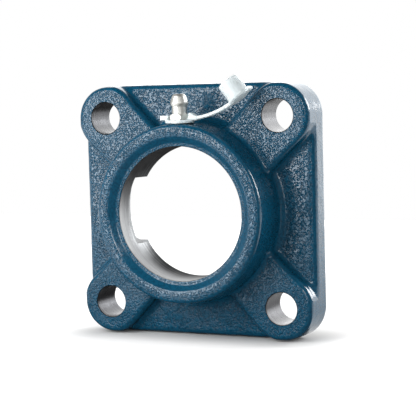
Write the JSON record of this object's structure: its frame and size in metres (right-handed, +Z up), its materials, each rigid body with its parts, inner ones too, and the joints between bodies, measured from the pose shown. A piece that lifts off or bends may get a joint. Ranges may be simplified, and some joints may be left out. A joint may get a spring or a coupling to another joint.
{
  "type": "square flange bearing housing",
  "caption": "Square flange bearing housing in painted cast iron, with a spherical seat for an insert bearing, corner bolt holes and a grease nipple with a dust cap on a strap.",
  "frame": {"origin": "on the bore axis, in the mounting face", "axes": "+Y out of the mounting face towards the wall it is bolted to, the hub points along -Y, +Z up through the grease nipple"},
  "size_m": [0.095, 0.027, 0.0977],
  "materials": {
    "blue_paint": "glossy dark blue paint over a sand-cast skin, bare where machined",
    "zinc_plated_steel": "bright zinc plate",
    "ball_steel": "polished",
    "spring_steel": "drawn wire",
    "cap_plastic": "translucent natural polyethylene"
  },
  "bodies": {
    "housing": {"housing": "blue_paint", "grease_nipple": "zinc_plated_steel", "check_spring": "spring_steel"},
    "check_ball": {"check_ball": "ball_steel"},
    "cap_ring": {"cap_ring": "cap_plastic"},
    "cap_strap": {"cap_strap": "cap_plastic"},
    "cap_cup": {"cap_cup": "cap_plastic"}
  },
  "joints": [
    {"name": "cap_swivel", "type": "hinge", "parent": "housing", "child": "cap_ring", "pos_m": [0, -0.0216, 0.0336], "axis": [0, 0, 1], "range_deg": [-186, 6]},
    {"name": "strap_fold", "type": "hinge", "parent": "cap_ring", "child": "cap_strap", "pos_m": [0.00906, -0.0216, 0.0357], "axis": [0, -1, 0], "range_deg": [0, 70.5], "stiffness_Nm_per_rad": 0.006},
    {"name": "cup_fold", "type": "hinge", "parent": "cap_strap", "child": "cap_cup", "pos_m": [0.01542, -0.0216, 0.0376], "axis": [0, -1, 0], "range_deg": [0, 70.5], "stiffness_Nm_per_rad": 0.006},
    {"name": "valve_slide", "type": "slide", "parent": "housing", "child": "check_ball", "axis": [0, 0, -1], "range_m": [0, 0.001], "stiffness_N_per_m": 250, "springref_m": -0.001, "deforming": ["check_spring"]}
  ],
  "couplings": [
    {"joint": "cup_fold", "follows": "strap_fold", "ratio": 1}
  ]
}
